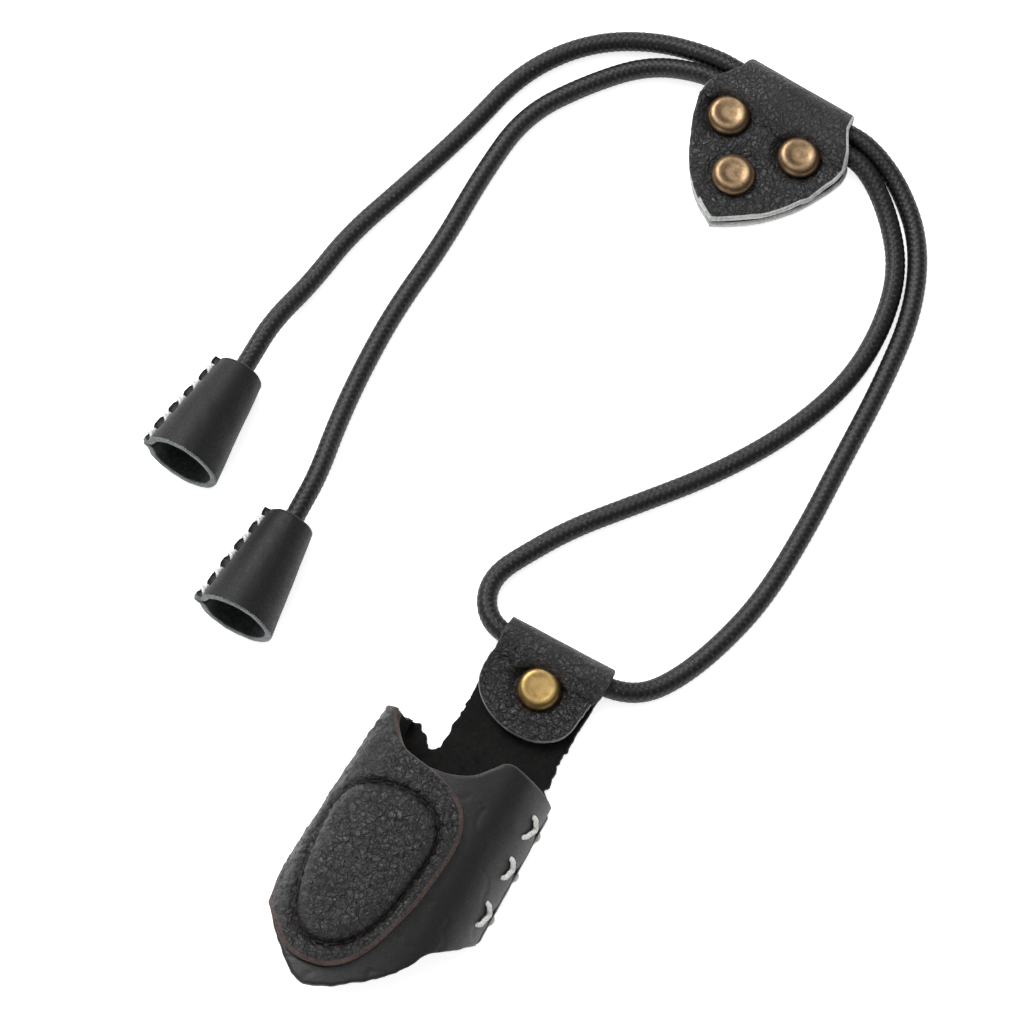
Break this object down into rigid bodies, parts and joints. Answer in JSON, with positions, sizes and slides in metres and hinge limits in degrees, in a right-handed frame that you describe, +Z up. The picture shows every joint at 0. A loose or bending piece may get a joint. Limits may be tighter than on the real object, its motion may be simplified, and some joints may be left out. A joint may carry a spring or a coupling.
{
  "type": "leather thumb guard with wrist cord",
  "caption": "Leather thumb sleeve with a padded patch and a riveted tab, on a braided wrist cord with a sliding leather toggle and small leather bells at its ends.",
  "frame": {"origin": "on the resting face of the sleeve's flat back panel, on the strap's centre line", "axes": "+Z up from the resting surface, +Y along the strap from the sleeve towards the tab and the cord loop, +X towards the sewn side seam"},
  "size_m": [0.1182, 0.1981, 0.0201],
  "materials": {
    "sleeve_leather": "smooth black, slightly glossy",
    "pad_leather": "pebbled black",
    "foam": "soft foam",
    "dark_thread": "black thread",
    "waxed_thread": "waxed white thread",
    "brass": "polished",
    "brass_back": "satin",
    "toggle_leather": "black with raw grey edges",
    "antique_brass": "antique",
    "antique_brass_back": "antique",
    "bell_leather": "black with raw grey edges",
    "bell_thread": "waxed white thread",
    "cord_braid": "braided"
  },
  "bodies": {
    "cord": {"cord": "cord_braid", "cord_knot_left": "cord_braid", "cord_knot_right": "cord_braid"},
    "guard": {"thumb_sleeve": "sleeve_leather", "pad_cover": "pad_leather", "pad_core": "foam", "pad_stitching": "dark_thread", "seam_stitching": "waxed_thread", "tab_rivet_cap": "brass", "tab_rivet_post": "brass_back"},
    "slider": {"slider_leather": "toggle_leather", "slider_rivet_caps": "antique_brass", "slider_rivet_posts": "antique_brass_back"},
    "bell_left": {"bell_left_leather": "bell_leather", "bell_left_stitching": "bell_thread"},
    "bell_right": {"bell_right_leather": "bell_leather", "bell_right_stitching": "bell_thread"}
  },
  "joints": [
    {"name": "guard_swing", "type": "hinge", "parent": "cord", "child": "guard", "pos_m": [0, 0.046, 0.0036], "axis": [-1, 0, 0], "range_deg": [0, 135]},
    {"name": "toggle_slide", "type": "slide", "parent": "cord", "child": "slider", "axis": [0.998, -0.0628, 0], "range_m": [-0.0022, 0.0019]},
    {"name": "bell_left_slide", "type": "slide", "parent": "cord", "child": "bell_left", "axis": [0, 1, 0], "range_m": [0, 0.01]},
    {"name": "bell_right_slide", "type": "slide", "parent": "cord", "child": "bell_right", "axis": [-0.0349, 0.9994, 0], "range_m": [0, 0.008]}
  ]
}
